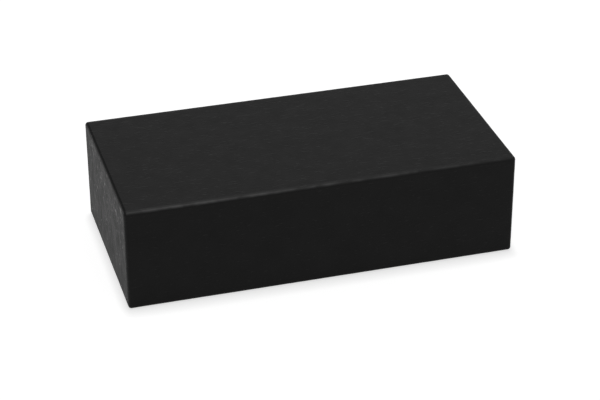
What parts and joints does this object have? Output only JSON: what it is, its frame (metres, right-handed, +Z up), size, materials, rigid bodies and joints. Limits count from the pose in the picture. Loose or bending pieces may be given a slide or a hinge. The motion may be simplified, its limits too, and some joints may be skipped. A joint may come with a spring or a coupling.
{
  "type": "sliding drawer gift box",
  "caption": "Black paper-covered gift box of rigid board: a sleeve closed at its left end and a tray drawer that slides out of the right end.",
  "frame": {"origin": "middle of the underside, on the surface the box stands on", "axes": "+X along the box, from its closed left end to the mouth at its right end, the way that the drawer comes out; +Y from the front wall to the rear wall; +Z up, the shortest side"},
  "size_m": [0.22, 0.11, 0.06],
  "materials": {
    "wrap_paper": "matte",
    "lining_paper": "matte",
    "floor_card": "matte",
    "greyboard": "matte",
    "kraft_tape": "matte"
  },
  "bodies": {
    "sleeve": {"sleeve_top_board": "greyboard", "sleeve_bottom_board": "greyboard", "sleeve_front_board": "greyboard", "sleeve_rear_board": "greyboard", "sleeve_left_end_board": "greyboard", "sleeve_tape_top_front": "kraft_tape", "sleeve_tape_top_rear": "kraft_tape", "sleeve_tape_bottom_front": "kraft_tape", "sleeve_tape_bottom_rear": "kraft_tape", "sleeve_tape_left_top": "kraft_tape", "sleeve_tape_left_bottom": "kraft_tape", "sleeve_tape_left_front": "kraft_tape", "sleeve_tape_left_rear": "kraft_tape", "sleeve_lining": "lining_paper", "sleeve_end_lining": "lining_paper", "sleeve_wrap": "wrap_paper", "sleeve_base_sheet": "wrap_paper"},
    "drawer": {"drawer_base_board": "greyboard", "drawer_front_wall_board": "greyboard", "drawer_rear_wall_board": "greyboard", "drawer_left_end_board": "greyboard", "drawer_right_end_board": "greyboard", "drawer_tape_left_front": "kraft_tape", "drawer_tape_left_rear": "kraft_tape", "drawer_tape_right_front": "kraft_tape", "drawer_tape_right_rear": "kraft_tape", "drawer_wrap": "wrap_paper", "drawer_floor_liner": "floor_card"}
  },
  "joints": [
    {"name": "drawer_slide", "type": "slide", "parent": "sleeve", "child": "drawer", "axis": [1, 0, 0], "range_m": [0, 0.195]}
  ]
}
